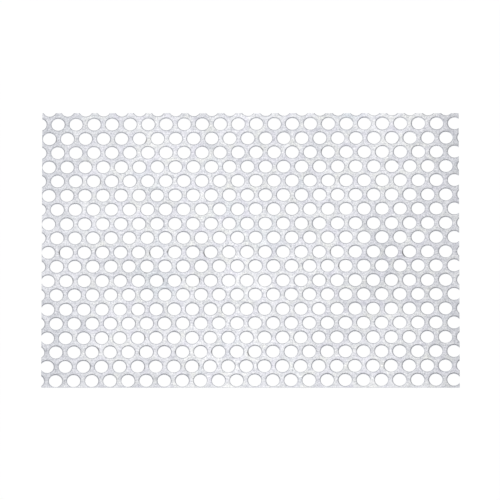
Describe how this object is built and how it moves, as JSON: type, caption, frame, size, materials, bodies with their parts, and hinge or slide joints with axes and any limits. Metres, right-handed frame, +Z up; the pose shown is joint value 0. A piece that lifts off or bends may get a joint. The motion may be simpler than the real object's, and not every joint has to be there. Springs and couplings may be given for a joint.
{
  "type": "perforated metal sheet",
  "caption": "Flat rectangular panel of thin sheet metal, punched all over with round holes in staggered rows; a see-through, airy sheet for guards, screens and covers.",
  "frame": {"origin": "centre of the underside, on the surface the sheet lies on", "axes": "+X along the rows of holes and the panel's longer side, +Y across the rows, +Z up out of the upper face"},
  "size_m": [0.3236, 0.2336, 0.001],
  "materials": {
    "galvanised_steel": "bright zinc-coated mill finish, satin, faintly clouded"
  },
  "bodies": {
    "root": {"perforated_sheet": "galvanised_steel"}
  },
  "joints": []
}
